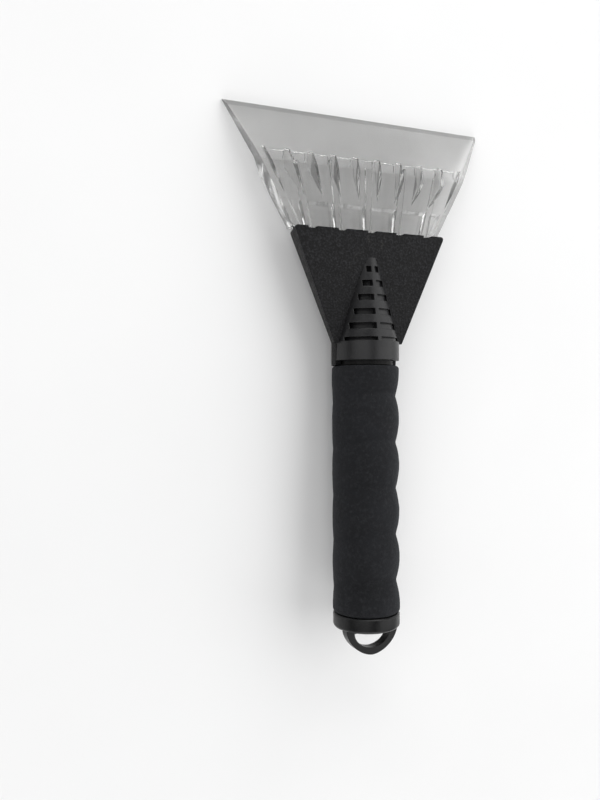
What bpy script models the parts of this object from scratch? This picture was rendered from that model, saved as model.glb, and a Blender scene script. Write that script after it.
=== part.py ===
"""Hand ice scraper for car windshields, as separate solids.

Working axes inside the parent empty: X is the width, +Y is the rear side,
+Z runs along the handle towards the blade. Z = 0 is the lower end of the foam.
The empty lays the tool on its back: blade towards world +Y, front face up,
resting on the blade's rear edge and on the rear of the collar.
"""
import math

import bmesh
import bpy
from mathutils import Matrix, Vector

MM = 0.001
GAP = 0.3                      # clearance between neighbouring pieces, mm

# ---- driving dimensions, mm ------------------------------------------------
# blade
TIP_Z = 210.5                  # scraping edge
TIP_HALF_W = 60.8
LIP_Z = 159.5                  # top of the head
BLADE_BASE_Z = LIP_Z + GAP
BLADE_BASE_HALF_W = 33.9
TOOTH_Z = 191.0                # where the tooth faces start
TOOTH_FACE_Z = 185.2           # lower end of the sloped tooth faces
STEP_Z = 170.0                 # lower end of the tooth block
NOTCH_Z = 173.0                # lower point of the notches between teeth
TEETH = 9
TOOTH_PITCH = 10.35            # at TOOTH_Z
BLOCK_Y = -3.4                 # front of the tooth block
PLATE_Y = -0.6                 # front of the plate under the block
RIB_Y = -3.9
RIB_HALF_W = 1.5
RAIL_W = 4.0                   # thicker border along each slanting side
RIB_PITCH_LIP = 13.5           # at the lip
RIB_PITCH_TOP = 17.3           # at the tooth line
TANG_HALF_W = 29.0
TANG_LOW_HALF_W = 20.5
TANG_Z = 139.0
TANG_REAR_Y = 3.2

# head
WAIST_Z = 112.9
WAIST_HALF_W = 15.95
HEAD_HALF_W = 35.2
FRONT_Y_TOP = -7.15
FRONT_Y_WAIST = -3.3
REAR_Y_TOP = 6.7
REAR_Y_WAIST = 4.6
REAR_TAPER_TOP = 3.0           # how much narrower the rear face is, each side
REAR_TAPER_WAIST = 2.0
SEAM = 1.4                     # seam plane behind the front face
WALL = 2.0
SPINE_TOP_Z = 151.0
SPINE_NARROW = 9.6             # how much the half axis shrinks towards the apex
SPINE_SLOPE = 0.272            # crest height gained per mm towards the collar
COLLAR_R = 14.3
COLLAR_IN_R = 11.9
COLLAR_FRONT_Z = 105.7
COLLAR_REAR_Z = 103.8

# louvre slots in the spine
SLOTS = 6
SLOT_TOP_Z = 143.6
SLOT_PITCH = 5.96
SLOT_H = 2.6
SLOT_LEN_TOP = 2.8
SLOT_LEN_STEP = 1.95
SPINE_RIB_HALF = 0.8
RIGHT_SLOT_DEPTH = 1.3         # the slots on the right are shallower

# handle
CORE_R = 9.0
CORE_BORE_R = 6.5
NECK_R = 11.6
NECK_TOP_Z = 110.0
SPIGOT_R = 6.8
SPIGOT_BORE_R = 4.5
SPIGOT_TOP_Z = 126.0
FOAM_L = 103.5
FOAM_R = 14.25
FOAM_IN_R = CORE_R + GAP
GROOVES = 5
GROOVE_FIRST_Z = 11.8
GROOVE_PITCH = 19.43
GROOVE_DEPTH = 2.8
GROOVE_SPREAD = 1.48
GROOVE_SLANT = 0.2             # grooves rise towards the front

# end cap
CAP_R = 14.1
CAP_Z = -6.6
PLUG_R = CORE_BORE_R - GAP
PLUG_TOP_Z = 14.0
LOOP_Z = -17.3
LOOP_HALF_W = 11.9
LOOP_T = 4.4
LOOP_Y = -3.2                  # the loop stands forward of the handle's axis
HOLE_TOP_Z = -7.8
HOLE_BOTTOM_Z = -14.3
HOLE_HALF_W = 8.2

# screws
SCREW_R = 1.25
SCREW_HEAD_R = 2.7
SCREW_HEAD_T = 1.7
SIDE_SCREW_X = 14.0
SIDE_SCREW_Z = 147.5
LOW_SCREW_Z = 119.5
BOSS_R = 3.2


def lerp(a, b, t):
    return a + (b - a) * t


def head_t(z):
    return (z - WAIST_Z) / (LIP_Z - WAIST_Z)


def head_half_w(z):
    return lerp(WAIST_HALF_W, HEAD_HALF_W, head_t(z))


def front_y(z):
    return lerp(FRONT_Y_WAIST, FRONT_Y_TOP, head_t(z))


def rear_y(z):
    return lerp(REAR_Y_WAIST, REAR_Y_TOP, head_t(z))


def rear_taper(z):
    return lerp(REAR_TAPER_WAIST, REAR_TAPER_TOP, head_t(z))


def spine_radii(z):
    """Half axes across and along Y of the rounded spine at height z."""
    t = (z - WAIST_Z) / (SPINE_TOP_Z - WAIST_Z)
    across = COLLAR_R - SPINE_NARROW * max(t, 0.0)
    along = -front_y(z) + SPINE_SLOPE * (SPINE_TOP_Z - 1.0 - z)
    return across, along


def blade_half_w(z):
    t = (z - BLADE_BASE_Z) / (TIP_Z - BLADE_BASE_Z)
    return lerp(BLADE_BASE_HALF_W, TIP_HALF_W, t)


# ---- scene -----------------------------------------------------------------
for ob in list(bpy.data.objects):
    bpy.data.objects.remove(ob, do_unlink=True)


def collection(name):
    col = bpy.data.collections.get(name)
    if col is None:
        col = bpy.data.collections.new(name)
        bpy.context.scene.collection.children.link(col)
    return col


PARTS = collection("ice_scraper")
CUTTERS = collection("ice_scraper_cutters")

frame = bpy.data.objects.new("scraper_frame", None)
PARTS.objects.link(frame)


def material(name, colour, roughness, metallic=0.0, alpha=1.0, transmission=0.0):
    mat = bpy.data.materials.new(name)
    mat.use_nodes = True
    bsdf = mat.node_tree.nodes["Principled BSDF"]
    bsdf.inputs["Base Color"].default_value = (*colour, 1.0)
    bsdf.inputs["Roughness"].default_value = roughness
    bsdf.inputs["Metallic"].default_value = metallic
    bsdf.inputs["Alpha"].default_value = alpha
    bsdf.inputs["Transmission Weight"].default_value = transmission
    return mat


CLEAR = material("clear_polycarbonate", (0.82, 0.83, 0.82), 0.08, 0.0, 1.0, 0.9)
BLACK = material("black_abs", (0.022, 0.022, 0.024), 0.55)
BLACK_REAR = material("black_abs_rear", (0.020, 0.020, 0.022), 0.55)
CORE = material("core_plastic", (0.018, 0.018, 0.018), 0.5)
FOAM = material("eva_foam", (0.018, 0.019, 0.021), 0.92)
CAP = material("cap_plastic", (0.020, 0.020, 0.021), 0.38)
STEEL = material("screw_steel", (0.56, 0.57, 0.58), 0.32, 1.0)


def link(name, bm, mat=None, cutter=False, smooth=None):
    bmesh.ops.recalc_face_normals(bm, faces=bm.faces[:])
    mesh = bpy.data.meshes.new(name)
    bm.to_mesh(mesh)
    bm.free()
    ob = bpy.data.objects.new(name, mesh)
    (CUTTERS if cutter else PARTS).objects.link(ob)
    ob.parent = frame
    if cutter:
        ob.hide_render = True
        ob.display_type = 'WIRE'
    if mat is not None:
        mesh.materials.append(mat)
    if smooth is not None:
        mesh.shade_smooth()
        mesh.set_sharp_from_angle(angle=math.radians(smooth))
    return ob


def scaled(bm, factor=MM):
    bmesh.ops.scale(bm, vec=(factor, factor, factor), verts=bm.verts[:])
    return bm


def block(x0, x1, y0, y1, z0, z1):
    bm = bmesh.new()
    bmesh.ops.create_cube(bm, size=1.0)
    for v in bm.verts:
        v.co = Vector((lerp(x0, x1, v.co.x + 0.5),
                       lerp(y0, y1, v.co.y + 0.5),
                       lerp(z0, z1, v.co.z + 0.5)))
    return bm


def shaped_block(fn):
    """A unit cube whose corners go where fn(sx, sy, sz) says, s = 0 or 1."""
    bm = bmesh.new()
    bmesh.ops.create_cube(bm, size=1.0)
    for v in bm.verts:
        v.co = Vector(fn(round(v.co.x + 0.5), round(v.co.y + 0.5), round(v.co.z + 0.5)))
    return bm


def hull(points):
    bm = bmesh.new()
    for p in points:
        bm.verts.new(p)
    out = bmesh.ops.convex_hull(bm, input=bm.verts[:])
    loose = [g for g in out["geom_interior"] if isinstance(g, bmesh.types.BMVert)]
    bmesh.ops.delete(bm, geom=loose, context='VERTS')
    return bm


def rod(r0, r1, z0, z1, segments=32):
    """Cylinder or cone along Z."""
    bm = bmesh.new()
    bmesh.ops.create_cone(bm, cap_ends=True, cap_tris=False, segments=segments,
                          radius1=r0, radius2=r1, depth=z1 - z0)
    bmesh.ops.translate(bm, vec=(0, 0, (z0 + z1) / 2), verts=bm.verts[:])
    return bm


def rod_y(r, y0, y1, x, z, segments=24):
    """Cylinder along Y through (x, z)."""
    bm = rod(r, r, y0, y1, segments)
    bmesh.ops.rotate(bm, cent=(0, 0, 0), matrix=Matrix.Rotation(-math.pi / 2, 3, 'X'),
                     verts=bm.verts[:])
    bmesh.ops.translate(bm, vec=(x, 0, z), verts=bm.verts[:])
    return bm


def turned(profile, segments=48):
    """Closed body of revolution about Z from (radius, z) points, top to bottom."""
    bm = bmesh.new()
    verts = [bm.verts.new((r, 0, z)) for r, z in profile]
    edges = [bm.edges.new((a, b)) for a, b in zip(verts, verts[1:])]
    if profile[0][0] > 1e-9:
        edges.append(bm.edges.new((verts[-1], verts[0])))
    bmesh.ops.spin(bm, geom=verts + edges, cent=(0, 0, 0), axis=(0, 0, 1),
                   angle=2 * math.pi, steps=segments, use_merge=True)
    bmesh.ops.remove_doubles(bm, verts=bm.verts[:], dist=1e-4)
    return bm


def boolean(ob, other, operation):
    mod = ob.modifiers.new(operation.lower() + "_" + other.name, 'BOOLEAN')
    mod.object = other
    mod.operation = operation
    mod.solver = 'EXACT'
    return mod


def cut(ob, name, bm):
    boolean(ob, link(name, scaled(bm), cutter=True), 'DIFFERENCE')


def join(ob, name, bm):
    boolean(ob, link(name, scaled(bm), cutter=True), 'UNION')


def keep(ob, name, bm):
    boolean(ob, link(name, scaled(bm), cutter=True), 'INTERSECT')


def bevel_edges(bm, test, width, segments=2):
    edges = [e for e in bm.edges if test(e.verts[0].co, e.verts[1].co)]
    bmesh.ops.bevel(bm, geom=edges, offset=width, offset_type='OFFSET',
                    segments=segments, profile=0.5, affect='EDGES')
    return bm


# ---- shapes shared by the head's two shells --------------------------------
def head_slab(inset=0.0, y_front=0.0, y_rear=0.0, z0=None, z1=None):
    """Trapezoid slab of the head, moved in from the outer faces by the insets."""
    za = WAIST_Z if z0 is None else z0
    zb = LIP_Z if z1 is None else z1

    def corner(sx, sy, sz):
        z = zb if sz else za
        w = head_half_w(z) - inset - (rear_taper(z) if sy else 0.0)
        y = rear_y(z) - y_rear if sy else front_y(z) + y_front
        return ((1 if sx else -1) * w, y, z)
    return shaped_block(corner)


def spine_body(inset, z0, z1, rings=14, segments=40):
    """Elliptical body that swells from the head's faces to the round collar."""
    bm = bmesh.new()
    bmesh.ops.create_cone(bm, cap_ends=True, segments=segments, radius1=1.0, radius2=1.0,
                          depth=1.0)
    side = [e for e in bm.edges if abs(e.verts[0].co.z - e.verts[1].co.z) > 0.5]
    bmesh.ops.subdivide_edges(bm, edges=side, cuts=rings - 1)
    for v in bm.verts:
        z = lerp(z0, z1, v.co.z + 0.5)
        across, along = spine_radii(max(z, WAIST_Z))
        v.co = Vector((v.co.x * (across - inset), v.co.y * (along - inset), z))
    return bm


def seam_half(front, offset):
    """Big wedge in front of (or behind) the sloping seam plane."""
    def corner(sx, sy, sz):
        z = 170.0 if sz else 95.0
        seam = front_y(z) + SEAM + offset
        y = seam if sy == front else (-40.0 if front else 40.0)
        return (80.0 if sx else -80.0, y, z)
    return shaped_block(corner)


def blade_edge(a, b):
    """Long corner edges of the head slab."""
    return abs(a.z - b.z) > 20.0


def top_corner(a, b):
    """Edges along Y at the two upper corners."""
    return a.z > LIP_Z - 0.01 and b.z > LIP_Z - 0.01 and abs(a.x) > 25.0 and a.x * b.x > 0


# ---- blade -----------------------------------------------------------------
def blade_profile():
    return [(7.0, TIP_Z), (6.5, TIP_Z), (3.9, TIP_Z - 2.7), (-1.9, TOOTH_Z),
            (BLOCK_Y, TOOTH_FACE_Z), (BLOCK_Y, STEP_Z + 0.4), (PLATE_Y, STEP_Z - 0.4),
            (PLATE_Y, BLADE_BASE_Z), (3.9, BLADE_BASE_Z), (4.8, 172.0),
            (4.9, 182.0), (2.9, 187.5)]


def blade_blank():
    """The side profile swept across, its two ends following the slanting sides."""
    bm = bmesh.new()
    left = [bm.verts.new((-blade_half_w(z), y, z)) for y, z in blade_profile()]
    face = bm.faces.new(left)
    out = bmesh.ops.extrude_face_region(bm, geom=[face])
    for g in out["geom"]:
        if isinstance(g, bmesh.types.BMVert):
            g.co.x = blade_half_w(g.co.z)
    return bm


blade = link("blade", scaled(blade_blank()), CLEAR)


def rib_x(k, z):
    t = (z - LIP_Z) / (TOOTH_Z - LIP_Z)
    return k * lerp(RIB_PITCH_LIP, RIB_PITCH_TOP, t)


for k in range(-2, 3):
    def rib_corner(sx, sy, sz, k=k):
        z = 188.0 if sz else 152.0
        y = 0.5 if sy else (lerp(RIB_Y, -3.0, 1.0) if sz else RIB_Y)
        return (rib_x(k, z) + (RIB_HALF_W if sx else -RIB_HALF_W), y, z)
    join(blade, "cut_blade_rib_%d" % (k + 2), shaped_block(rib_corner))

def tang_corner(sx, sy, sz):
    w = TANG_HALF_W if sz else TANG_LOW_HALF_W
    return ((w if sx else -w), TANG_REAR_Y if sy else PLATE_Y,
            LIP_Z + 3.0 if sz else TANG_Z)


for s in (-1, 1):
    def rail_corner(sx, sy, sz, s=s):
        z = STEP_Z + 3.0 if sz else BLADE_BASE_Z
        w = blade_half_w(z)
        return (s * (w - 0.05 if sx else w - RAIL_W), 1.0 if sy else BLOCK_Y + 0.25, z)
    join(blade, "cut_blade_rail_%d" % (s + 1), shaped_block(rail_corner))

tang = shaped_block(tang_corner)
bevel_edges(tang, lambda a, b: a.z < TANG_Z + 0.1 and b.z < TANG_Z + 0.1
            and abs(a.y - b.y) > 1 and a.x * b.x > 0, 2.5, 3)
join(blade, "cut_blade_tang", tang)

for i in range(TEETH + 1):
    k = i - TEETH / 2
    x_top = k * TOOTH_PITCH
    shrink = blade_half_w(NOTCH_Z) / blade_half_w(TOOTH_Z)
    x_low = x_top * shrink
    slim = 0.5 if abs(k) > TEETH / 2 - 0.1 else 1.0
    pts = [(x_top * (blade_half_w(z) / blade_half_w(TOOTH_Z) if slim < 1 else 1.0)
            + s * w * slim, y, z) for s in (-1, 1)
           for w, y, z in ((2.6, -9.0, TOOTH_Z + 3.0), (0.7, -0.9, TOOTH_Z - 0.5),
                           (2.3, -9.0, TOOTH_FACE_Z - 1.0), (0.6, -0.9, TOOTH_FACE_Z - 3.0))]
    pts += [(x_low, -9.0, NOTCH_Z - 4.0), (x_low, BLOCK_Y + 0.2, NOTCH_Z)]
    cut(blade, "cut_blade_notch_%d" % i, hull(pts))

for s in (-1, 1):
    cut(blade, "cut_tang_hole_%d" % (s + 1),
        rod_y(BOSS_R + GAP, -8, 8, s * SIDE_SCREW_X, SIDE_SCREW_Z))

# ---- head: rear shell ------------------------------------------------------
outer = head_slab()
bevel_edges(outer, lambda a, b: blade_edge(a, b) and a.y > 0, 2.2, 3)
bevel_edges(outer, top_corner, 1.8, 3)
rear = link("head_rear_shell", scaled(outer), BLACK_REAR, smooth=35)
join(rear, "cut_rear_swell", spine_body(0.0, WAIST_Z - 0.05, SPINE_TOP_Z))
join(rear, "cut_rear_collar", rod(COLLAR_R, COLLAR_R, COLLAR_REAR_Z, WAIST_Z + 0.6, 64))
cut(rear, "cut_rear_cavity", head_slab(WALL, -20.0, WALL, WAIST_Z + 4.0, LIP_Z - WALL))
cut(rear, "cut_rear_swell_cavity", spine_body(WALL + 0.2, WAIST_Z - 0.2, SPINE_TOP_Z - 3.0))
cut(rear, "cut_rear_bore", rod(COLLAR_IN_R, COLLAR_IN_R, 95.0, WAIST_Z + 0.5, 64))
cut(rear, "cut_rear_mouth", block(-TANG_HALF_W - GAP, TANG_HALF_W + GAP, -20.0,
                                  TANG_REAR_Y + GAP, LIP_Z - WALL - 1.0, LIP_Z + 5.0))
for s in (-1, 1):
    join(rear, "cut_rear_boss_%d" % (s + 1),
         rod_y(BOSS_R + 1.2, TANG_REAR_Y + GAP, rear_y(SIDE_SCREW_Z) - 0.4,
               s * SIDE_SCREW_X, SIDE_SCREW_Z))
    cut(rear, "cut_rear_pilot_%d" % (s + 1),
        rod_y(SCREW_R + GAP, -8, 12, s * SIDE_SCREW_X, SIDE_SCREW_Z))
    cut(rear, "cut_rear_sink_%d" % (s + 1),
        rod_y(SCREW_HEAD_R + GAP, rear_y(SIDE_SCREW_Z) - SCREW_HEAD_T, 14,
              s * SIDE_SCREW_X, SIDE_SCREW_Z))
low_rear_y = spine_radii(LOW_SCREW_Z)[1]
join(rear, "cut_rear_low_boss",
     rod_y(BOSS_R + 1.2, SPIGOT_R + GAP, low_rear_y - 0.6, 0, LOW_SCREW_Z))
cut(rear, "cut_rear_low_pilot", rod_y(SCREW_R + GAP, -2, 20, 0, LOW_SCREW_Z))
cut(rear, "cut_rear_low_sink",
    rod_y(SCREW_HEAD_R + GAP, low_rear_y - 2.4, 20, 0, LOW_SCREW_Z))
keep(rear, "cut_rear_half", seam_half(False, GAP / 2))

# ---- head: front cover -----------------------------------------------------
cover = head_slab(0.0, 0.0, 0.0)
bevel_edges(cover, top_corner, 1.8, 3)
front = link("head_front_cover", scaled(cover), BLACK, smooth=35)
join(front, "cut_front_swell", spine_body(0.0, WAIST_Z - 0.05, SPINE_TOP_Z))
for i in range(SLOTS):
    zc = SLOT_TOP_Z - i * SLOT_PITCH
    reach = SLOT_LEN_TOP + i * SLOT_LEN_STEP
    for s in (-1, 1):
        cut(front, "cut_slot_%d_%d" % (i, s + 1),
            block(s * SPINE_RIB_HALF, s * reach, -30.0, front_y(zc) + 0.7,
                  zc - SLOT_H / 2, zc + SLOT_H / 2))
join(front, "cut_front_floor", spine_body(2.6, WAIST_Z - 0.3, SPINE_TOP_Z - 6.0))
shallow = spine_body(RIGHT_SLOT_DEPTH, WAIST_Z - 0.15, SPINE_TOP_Z - 4.5, 12, 36)
out = bmesh.ops.bisect_plane(shallow, geom=shallow.verts[:] + shallow.edges[:] + shallow.faces[:],
                             dist=1e-5, plane_co=(0.35, 0, 0), plane_no=(1, 0, 0),
                             clear_inner=True)
rim = [e for e in out["geom_cut"] if isinstance(e, bmesh.types.BMEdge)]
bmesh.ops.contextual_create(shallow, geom=rim)
join(front, "cut_front_shallow", shallow)
join(front, "cut_front_collar",
     rod(COLLAR_R, COLLAR_R, COLLAR_FRONT_Z, WAIST_Z + 0.6, 64))
cut(front, "cut_front_swell_cavity", spine_body(4.2, WAIST_Z - 0.2, SPINE_TOP_Z - 8.0))
cut(front, "cut_front_bore", rod(COLLAR_IN_R, COLLAR_IN_R, 95.0, WAIST_Z - 1.2, 64))
cut(front, "cut_front_spigot_room",
    rod(SPIGOT_R + GAP, SPIGOT_R + GAP, 95.0, SPIGOT_TOP_Z + GAP, 48))
keep(front, "cut_front_half", seam_half(True, -GAP / 2))
# flange that closes the mouth in front of the tang, notched for the ribs
join(front, "cut_front_flange",
     block(-TANG_HALF_W, TANG_HALF_W, front_y(LIP_Z) + 0.6, PLATE_Y - GAP,
           LIP_Z - WALL - 0.6, LIP_Z - 0.05))
for k in range(-2, 3):
    def notch_corner(sx, sy, sz, k=k, y0=RIB_Y - GAP, z0=148.0, extra=0.0):
        z = LIP_Z + 2.0 + extra if sz else z0
        half = RIB_HALF_W + GAP + extra
        return (rib_x(k, z) + (half if sx else -half), 0.5 if sy else y0, z)
    cut(front, "cut_front_notch_%d" % (k + 2), shaped_block(notch_corner))
    cut(front, "cut_front_dip_%d" % (k + 2), shaped_block(
        lambda sx, sy, sz, k=k: notch_corner(sx, sy, sz, k, -12.0, LIP_Z - 0.8, 0.15)))
for s in (-1, 1):
    join(front, "cut_front_boss_%d" % (s + 1),
         rod_y(BOSS_R, front_y(SIDE_SCREW_Z) + 0.6, TANG_REAR_Y,
               s * SIDE_SCREW_X, SIDE_SCREW_Z))
    cut(front, "cut_front_pilot_%d" % (s + 1),
        rod_y(SCREW_R + GAP, front_y(SIDE_SCREW_Z) + 1.6, 12,
              s * SIDE_SCREW_X, SIDE_SCREW_Z))

# ---- handle core -----------------------------------------------------------
core = link("handle_core", scaled(turned([
    (0.0, SPIGOT_TOP_Z), (SPIGOT_R, SPIGOT_TOP_Z), (SPIGOT_R, NECK_TOP_Z),
    (NECK_R, NECK_TOP_Z), (NECK_R, FOAM_L + GAP), (CORE_R, FOAM_L + GAP),
    (CORE_R, 0.0), (CORE_BORE_R, 0.0), (CORE_BORE_R, FOAM_L - 1.0),
    (SPIGOT_BORE_R, FOAM_L + 3.0), (SPIGOT_BORE_R, SPIGOT_TOP_Z - 2.0),
    (0.0, SPIGOT_TOP_Z - 2.0)], 48)), CORE, smooth=35)
cut(core, "cut_core_cross", rod_y(SCREW_R + GAP, -12, 12, 0, LOW_SCREW_Z, 20))


# ---- foam grip -------------------------------------------------------------
def groove(z):
    """0 on a crest, 1 in the bottom of a finger groove."""
    last = GROOVE_FIRST_Z + (GROOVES - 1) * GROOVE_PITCH
    if z < GROOVE_FIRST_Z:
        u = min((GROOVE_FIRST_Z - z) / (GROOVE_PITCH / 2), 1.0)
    elif z > last:
        u = min((z - last) / (GROOVE_PITCH / 2), 1.0)
    else:
        u = abs(((z - GROOVE_FIRST_Z + GROOVE_PITCH / 2) % GROOVE_PITCH)
                - GROOVE_PITCH / 2) / (GROOVE_PITCH / 2)
    return 1.0 - math.sin(math.pi / 2 * u) ** 0.8


def foam_body(rings=48, segments=40):
    edge = 1.2
    profile = [(FOAM_IN_R, FOAM_L), (FOAM_R - edge, FOAM_L), (FOAM_R - 0.3, FOAM_L - 0.35)]
    profile += [(FOAM_R, lerp(FOAM_L - edge, edge, i / rings)) for i in range(rings + 1)]
    profile += [(FOAM_R - 0.3, 0.35), (FOAM_R - edge, 0.0), (FOAM_IN_R, 0.0)]
    bm = turned(profile, segments)
    for v in bm.verts:
        r = math.hypot(v.co.x, v.co.y)
        if r < FOAM_R - 0.1:
            continue
        facing = (1.0 - v.co.y / r) / 2.0
        depth = GROOVE_DEPTH * facing ** GROOVE_SPREAD * groove(v.co.z + GROOVE_SLANT * v.co.y)
        v.co.x *= (r - depth) / r
        v.co.y *= (r - depth) / r
    return bm


foam = link("foam_grip", scaled(foam_body()), FOAM, smooth=50)

# ---- end cap ---------------------------------------------------------------
cap = link("end_cap", scaled(turned([
    (0.0, PLUG_TOP_Z), (PLUG_R - 0.6, PLUG_TOP_Z), (PLUG_R, PLUG_TOP_Z - 0.8),
    (PLUG_R, -GAP), (CAP_R - 0.5, -GAP), (CAP_R, -GAP - 0.5), (CAP_R, CAP_Z + 1.6),
    (CAP_R - 0.5, CAP_Z + 0.5), (CAP_R - 1.6, CAP_Z), (0.0, CAP_Z)], 56)), CAP, smooth=35)


def arch(half_w, z_top, z_bottom, power, steps):
    """Points of a straight-topped, round-bottomed outline."""
    pts = []
    for i in range(steps + 1):
        a = math.pi * i / steps
        c, s = math.cos(a), math.sin(a)
        x = half_w * math.copysign(abs(c) ** (2.0 / power), c)
        z = z_top + (z_bottom - z_top) * abs(s) ** (2.0 / power)
        pts.append((x, z))
    return pts


def plate_from(outline, half_t):
    bm = bmesh.new()
    face = bm.faces.new([bm.verts.new((x, LOOP_Y - half_t, z)) for x, z in outline])
    out = bmesh.ops.extrude_face_region(bm, geom=[face])
    for g in out["geom"]:
        if isinstance(g, bmesh.types.BMVert):
            g.co.y = LOOP_Y + half_t
    return bm


loop = plate_from([(LOOP_HALF_W, CAP_Z + 3.0)] + arch(LOOP_HALF_W, CAP_Z + 0.2, LOOP_Z, 1.75, 28)
                  + [(-LOOP_HALF_W, CAP_Z + 3.0)], LOOP_T / 2)
bevel_edges(loop, lambda a, b: abs(a.y - b.y) < 1e-6 and min(a.z, b.z) < CAP_Z + 0.1
            and max(a.z, b.z) < CAP_Z + 0.5, 0.6, 2)
join(cap, "cut_cap_loop", loop)
cut(cap, "cut_cap_hole", plate_from(arch(HOLE_HALF_W, HOLE_TOP_Z, HOLE_BOTTOM_Z, 1.9, 20), 8.0))


# ---- screws ----------------------------------------------------------------
def screw(name, x, z, y_seat, y_tip):
    """Pan-head self-tapping screw along Y, head to the rear, cross recess."""
    length = y_seat - y_tip
    bm = turned([(0.0, SCREW_HEAD_T), (SCREW_HEAD_R - 0.9, SCREW_HEAD_T),
                 (SCREW_HEAD_R - 0.2, SCREW_HEAD_T - 0.5), (SCREW_HEAD_R, 0.5),
                 (SCREW_HEAD_R, 0.0), (SCREW_R, 0.0), (SCREW_R, 1.4 - length),
                 (0.0, -length)], 24)
    ob = link(name, scaled(bm), STEEL, smooth=35)
    ob.location = (x * MM, y_seat * MM, z * MM)
    ob.rotation_euler = (-math.pi / 2, 0, 0)
    for j in range(2):
        slot = link("cut_%s_recess_%d" % (name, j),
                    scaled(block(-1.5, 1.5, -0.3, 0.3, 0.9, 4.0)), cutter=True)
        slot.location = ob.location
        slot.rotation_euler = (-math.pi / 2, 0, 0)
        slot.delta_rotation_euler = (0, 0, 0)
        if j:
            for v in slot.data.vertices:
                v.co = Vector((-v.co.y, v.co.x, v.co.z))
        boolean(ob, slot, 'DIFFERENCE')
    return ob


seat = rear_y(SIDE_SCREW_Z) - SCREW_HEAD_T + GAP
screw("head_screw_left", -SIDE_SCREW_X, SIDE_SCREW_Z, seat, front_y(SIDE_SCREW_Z) + 2.2)
screw("head_screw_right", SIDE_SCREW_X, SIDE_SCREW_Z, seat, front_y(SIDE_SCREW_Z) + 2.2)
screw("head_screw_lower", 0.0, LOW_SCREW_Z, low_rear_y - 2.4 + GAP, -SPIGOT_R + 0.6)

# ---- lay the tool down -----------------------------------------------------
# contact points in the (Y, Z) working plane: the collar's rear edge and the
# blade's rear edge. The tool turns until both are at the same height.
COLLAR_EDGE = (COLLAR_R, WAIST_Z)
BLADE_EDGE = (7.0, TIP_Z)
tilt = math.atan2(COLLAR_EDGE[0] - BLADE_EDGE[0], BLADE_EDGE[1] - COLLAR_EDGE[1])
angle = -math.pi / 2 - tilt
frame.rotation_euler = (angle, 0, 0)


def laid(y, z):
    """World (Y, Z) of a working-plane point, before the final shift."""
    c, s = math.cos(angle), math.sin(angle)
    return y * c - z * s, y * s + z * c


low = laid(*BLADE_EDGE)[1]
y_hi = laid(6.5, TIP_Z)[0]
y_hi = max(y_hi, laid(7.0, TIP_Z)[0])
y_lo = min(laid(LOOP_Y + y, LOOP_Z)[0] for y in (-LOOP_T / 2 + 0.6, LOOP_T / 2 - 0.6))
frame.location = (0.0, -(y_hi + y_lo) / 2 * MM, -low * MM)
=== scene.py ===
"""Looks of the windshield ice scraper: fine meshes, materials, light and camera."""
import math

import bmesh
import bpy
import numpy as np
from mathutils import Matrix, Vector, noise

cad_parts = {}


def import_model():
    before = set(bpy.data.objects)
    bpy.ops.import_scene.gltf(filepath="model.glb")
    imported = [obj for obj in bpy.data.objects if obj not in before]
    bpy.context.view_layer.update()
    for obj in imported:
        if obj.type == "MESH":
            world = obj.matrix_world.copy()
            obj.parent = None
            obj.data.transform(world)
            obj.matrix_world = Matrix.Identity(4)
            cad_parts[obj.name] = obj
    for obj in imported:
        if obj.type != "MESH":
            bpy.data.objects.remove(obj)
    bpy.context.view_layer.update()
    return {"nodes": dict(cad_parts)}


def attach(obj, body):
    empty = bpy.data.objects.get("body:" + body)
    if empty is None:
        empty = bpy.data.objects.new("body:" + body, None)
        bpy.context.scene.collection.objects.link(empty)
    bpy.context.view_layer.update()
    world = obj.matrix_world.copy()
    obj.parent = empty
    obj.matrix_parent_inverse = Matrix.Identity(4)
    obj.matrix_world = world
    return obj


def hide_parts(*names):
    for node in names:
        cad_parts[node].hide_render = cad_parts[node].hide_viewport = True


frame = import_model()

MM = 0.001
GAP = 0.3

# ---------------------------------------------------------------------------
# The working axes of the tool, as in the CAD source: X across, +Y to the rear,
# +Z along the handle to the blade, millimetres. LAY takes them to the frame.
# ---------------------------------------------------------------------------
TIP_Z, TIP_HALF_W = 210.5, 60.8
LIP_Z = 159.5
BASE_Z, BASE_HALF_W = LIP_Z + GAP, 33.9
TOOTH_Z, TOOTH_FACE_Z, STEP_Z, NOTCH_Z = 191.0, 185.2, 170.0, 173.0
TEETH, TOOTH_PITCH = 9, 10.35
RIB_PITCH_LIP, RIB_PITCH_TOP = 13.5, 17.3
WAIST_Z, WAIST_HALF_W, HEAD_HALF_W = 112.9, 15.95, 35.2
FRONT_Y_TOP, FRONT_Y_WAIST = -7.15, -3.3
REAR_Y_TOP, REAR_Y_WAIST = 6.7, 4.6
REAR_TAPER_TOP, REAR_TAPER_WAIST = 3.0, 2.0
SEAM, WALL = 1.4, 2.0
SPINE_TOP_Z, SPINE_SLOPE, SPINE_NARROW = 151.0, 0.272, 9.6
COLLAR_R, COLLAR_IN_R = 14.3, 11.9
COLLAR_FRONT_Z, COLLAR_REAR_Z = 105.7, 103.8
SLOTS, SLOT_TOP_Z, SLOT_PITCH, SLOT_H = 6, 143.6, 5.96, 2.6
SLOT_LEN_TOP, SLOT_LEN_STEP, SPINE_RIB_HALF = 2.8, 1.95, 0.8
TANG_HALF_W, TANG_REAR_Y, PLATE_Y = 29.0, 3.2, -0.6
RIB_Y, RIB_HALF_W = -3.9, 1.5
SPIGOT_R, SPIGOT_TOP_Z = 6.8, 126.0
FOAM_L, FOAM_R, FOAM_IN_R = 103.5, 14.25, 9.3
GROOVES, GROOVE_FIRST_Z, GROOVE_PITCH = 5, 11.8, 19.43
GROOVE_DEPTH, GROOVE_SPREAD, GROOVE_SLANT = 2.8, 1.48, 0.2
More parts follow.
